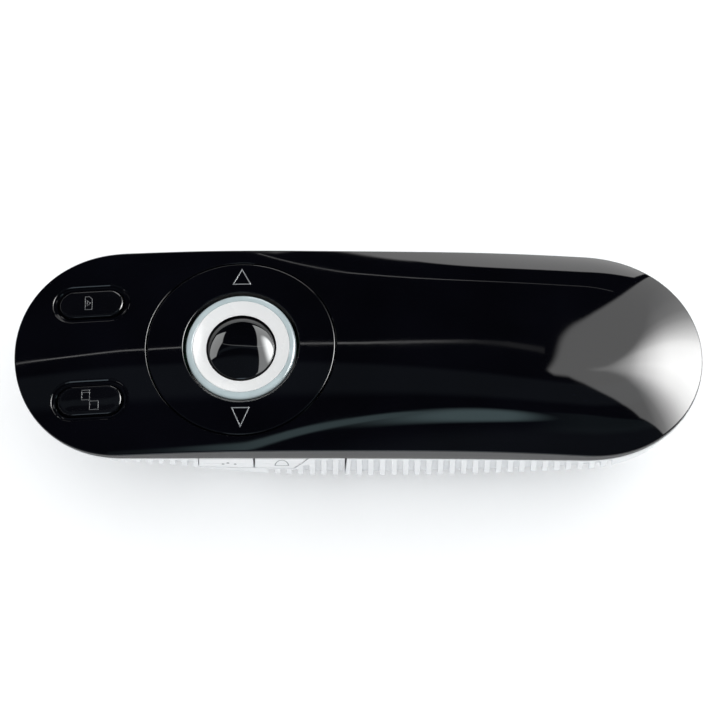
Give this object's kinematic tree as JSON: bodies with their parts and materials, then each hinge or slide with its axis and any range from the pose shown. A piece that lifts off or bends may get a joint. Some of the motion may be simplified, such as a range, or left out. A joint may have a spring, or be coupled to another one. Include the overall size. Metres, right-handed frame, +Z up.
{
  "type": "wireless presentation clicker",
  "caption": "Handheld wireless presentation clicker: arched black cover, cursor stick inside a tilting slide ring, small keys, ribbed white case, laser tip and sliding battery cover.",
  "frame": {"origin": "centre of the bounding box at the belly plane the clicker lies on", "axes": "+X from the laser tip to the battery end, +Y away from the side keys, +Z up through the cursor stick"},
  "size_m": [0.12, 0.0388, 0.0233],
  "materials": {
    "cover_black": "piano black, polished",
    "case_white": "fine satin moulding",
    "side_key_white": "smooth satin",
    "dome_black": "polished dome",
    "ring_white": "soft gloss white",
    "halo": "tinted translucent ring",
    "inner_grey": "inner moulding",
    "pcb_green": "solder mask",
    "chip_black": "moulded parts",
    "switch_dark": "switch housings",
    "spring_steel": "bright spring steel",
    "brass": "turned brass",
    "lens_clear": "clear moulded",
    "window_red": "dark tinted window",
    "plug_metal": "plated sheet",
    "tongue_white": "moulded tongue",
    "screw_steel": "zinc plated",
    "cell_wrap": "printed sleeve, plain"
  },
  "bodies": {
    "body": {"top_cover": "cover_black", "lower_case": "case_white", "battery_tray": "inner_grey", "cell_a": "cell_wrap", "cell_b": "cell_wrap", "battery_contacts": "spring_steel", "battery_springs": "spring_steel", "main_board": "pcb_green", "board_components": "chip_black", "key_switches": "switch_dark", "rocker_switches": "switch_dark", "side_switches": "switch_dark", "stick_base": "inner_grey", "centering_spring": "spring_steel", "ring_bezel": "ring_white", "halo_ring": "halo", "laser_barrel": "brass", "laser_holder": "inner_grey", "laser_lens": "lens_clear", "laser_window": "window_red", "receiver_bay": "inner_grey", "case_screws": "screw_steel", "tray_screws": "screw_steel"},
    "rear_cover": {"rear_cover": "case_white"},
    "slide_rocker": {"slide_rocker": "cover_black"},
    "stick_post": {"stick_post": "inner_grey"},
    "gimbal_cross": {"gimbal_cross": "spring_steel"},
    "stick_cap": {"stick_cap": "dome_black"},
    "key_launch": {"key_launch": "cover_black"},
    "key_window": {"key_window": "cover_black"},
    "side_key_laser": {"side_key_laser": "side_key_white"},
    "side_key_dome": {"side_key_dome": "side_key_white"},
    "receiver": {"receiver_shell": "case_white", "receiver_plug": "plug_metal", "receiver_tongue": "tongue_white"}
  },
  "joints": [
    {"name": "rocker_tilt", "type": "hinge", "parent": "body", "child": "slide_rocker", "pos_m": [-0.02045, 0, 0.0186], "axis": [1, 0, 0], "range_deg": [-2.5, 2.5], "stiffness_Nm_per_rad": 0.6},
    {"name": "stick_press", "type": "slide", "parent": "body", "child": "stick_post", "axis": [0.0523, 0, -0.9986], "range_m": [0, 0.0004], "stiffness_N_per_m": 3000},
    {"name": "stick_pitch", "type": "hinge", "parent": "stick_post", "child": "gimbal_cross", "pos_m": [-0.02021, 0, 0.01721], "axis": [0.9986, 0, 0.0523], "range_deg": [-10, 10], "stiffness_Nm_per_rad": 0.06},
    {"name": "stick_roll", "type": "hinge", "parent": "gimbal_cross", "child": "stick_cap", "pos_m": [-0.02021, 0, 0.01721], "axis": [0, 1, 0], "range_deg": [-10, 10], "stiffness_Nm_per_rad": 0.06},
    {"name": "key_launch_press", "type": "slide", "parent": "body", "child": "key_launch", "axis": [0, 0, -1], "range_m": [0, 0.0005], "stiffness_N_per_m": 3000},
    {"name": "key_window_press", "type": "slide", "parent": "body", "child": "key_window", "axis": [0, 0, -1], "range_m": [0, 0.0005], "stiffness_N_per_m": 3000},
    {"name": "side_key_laser_press", "type": "slide", "parent": "body", "child": "side_key_laser", "axis": [0, 1, 0], "range_m": [0, 0.0005], "stiffness_N_per_m": 3000},
    {"name": "side_key_dome_press", "type": "slide", "parent": "body", "child": "side_key_dome", "axis": [0, 1, 0], "range_m": [0, 0.0005], "stiffness_N_per_m": 3000},
    {"name": "rear_cover_slide", "type": "slide", "parent": "body", "child": "rear_cover", "axis": [0.9994, 0, -0.0349], "range_m": [0, 0.064]},
    {"name": "receiver_slide", "type": "slide", "parent": "body", "child": "receiver", "axis": [0, 1, 0], "range_m": [0, 0.03]}
  ]
}
